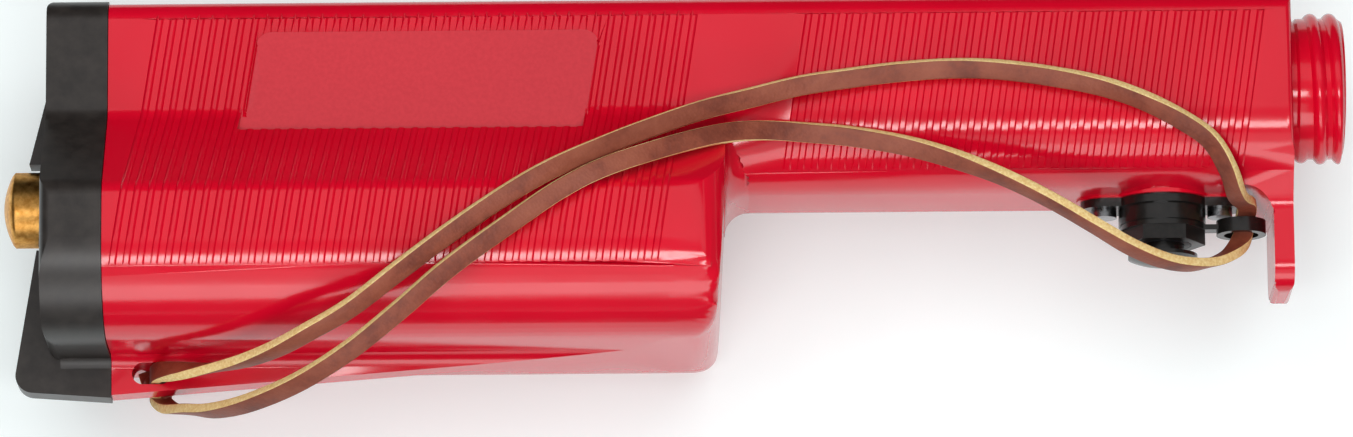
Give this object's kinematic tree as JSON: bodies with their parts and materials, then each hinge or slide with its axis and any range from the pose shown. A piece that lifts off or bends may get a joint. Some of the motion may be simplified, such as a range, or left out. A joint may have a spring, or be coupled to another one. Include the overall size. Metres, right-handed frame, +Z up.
{
  "type": "livestock prod battery handle",
  "caption": "Ribbed red prod handle with a battery chamber, threaded nose, push-button trigger, finger guard, capped end with a brass thumb knob, and a leather wrist lace.",
  "frame": {"origin": "on the nose thread's axis, at the nose shoulder", "axes": "+X along the handle towards the nose, +Y towards the top of the handle, +Z up from the surface it lies on"},
  "size_m": [0.2244, 0.0705, 0.0626],
  "materials": {
    "red_moulding": "glossy red moulding",
    "black_moulding": "satin black moulding",
    "black_metal": "black oxide",
    "gasket": "soft, dark grey",
    "brass": "turned",
    "steel": "bright",
    "cell_can": "plain grey wrap",
    "contact_plate": "stamped",
    "insulator": "cream",
    "switch": "dark grey",
    "board": "green laminate",
    "core_iron": "stacked laminations",
    "winding": "varnished copper wire",
    "capacitor_sleeve": "dark blue sleeve",
    "transistor_case": "moulded black",
    "red_lead": "red insulation",
    "black_lead": "black insulation",
    "white_lead": "white insulation",
    "leather": "brown lace with paler cut edges"
  },
  "bodies": {
    "handle": {"housing": "red_moulding", "trigger_bezel": "black_moulding", "strap_eyelet": "black_metal", "lock_nut": "black_metal", "tie_rod": "brass", "nose_contacts": "brass", "bezel_screws": "steel", "cell_top_front": "cell_can", "cell_top_rear": "cell_can", "cell_near_front": "cell_can", "cell_near_rear": "cell_can", "cell_far_front": "cell_can", "cell_far_rear": "cell_can", "front_bridge_plate": "contact_plate", "front_terminal_plate": "contact_plate", "rod_terminal": "contact_plate", "bulkhead": "insulator", "nose_disc": "insulator", "switch_body": "switch", "circuit_board": "board", "transformer_core": "core_iron", "transformer_winding": "winding", "storage_capacitor": "capacitor_sleeve", "power_transistor": "transistor_case", "battery_lead": "red_lead", "switch_lead": "red_lead", "rod_lead": "black_lead", "output_leads": "white_lead", "wrist_strap": "leather", "strap_knot": "leather"},
    "cap": {"end_cap": "black_moulding", "cap_seal": "gasket", "cap_bridge_plate": "contact_plate", "cap_rod_plate": "contact_plate", "cap_springs": "steel"},
    "knob": {"thumb_knob": "brass", "knob_clip": "steel"},
    "trigger": {"trigger_button": "black_moulding", "trigger_spring": "steel"}
  },
  "joints": [
    {"name": "trigger_press", "type": "slide", "parent": "handle", "child": "trigger", "axis": [0, 1, 0], "range_m": [0, 0.0014], "stiffness_N_per_m": 2000, "springref_m": -0.001, "deforming": ["trigger_spring"]},
    {"name": "cap_slide", "type": "slide", "parent": "handle", "child": "cap", "axis": [-1, 0, 0], "range_m": [0, 0.03]},
    {"name": "knob_turn", "type": "hinge", "parent": "cap", "child": "knob", "pos_m": [-0.2127, -0.019, 0], "axis": [-1, 0, 0], "continuous": true}
  ]
}
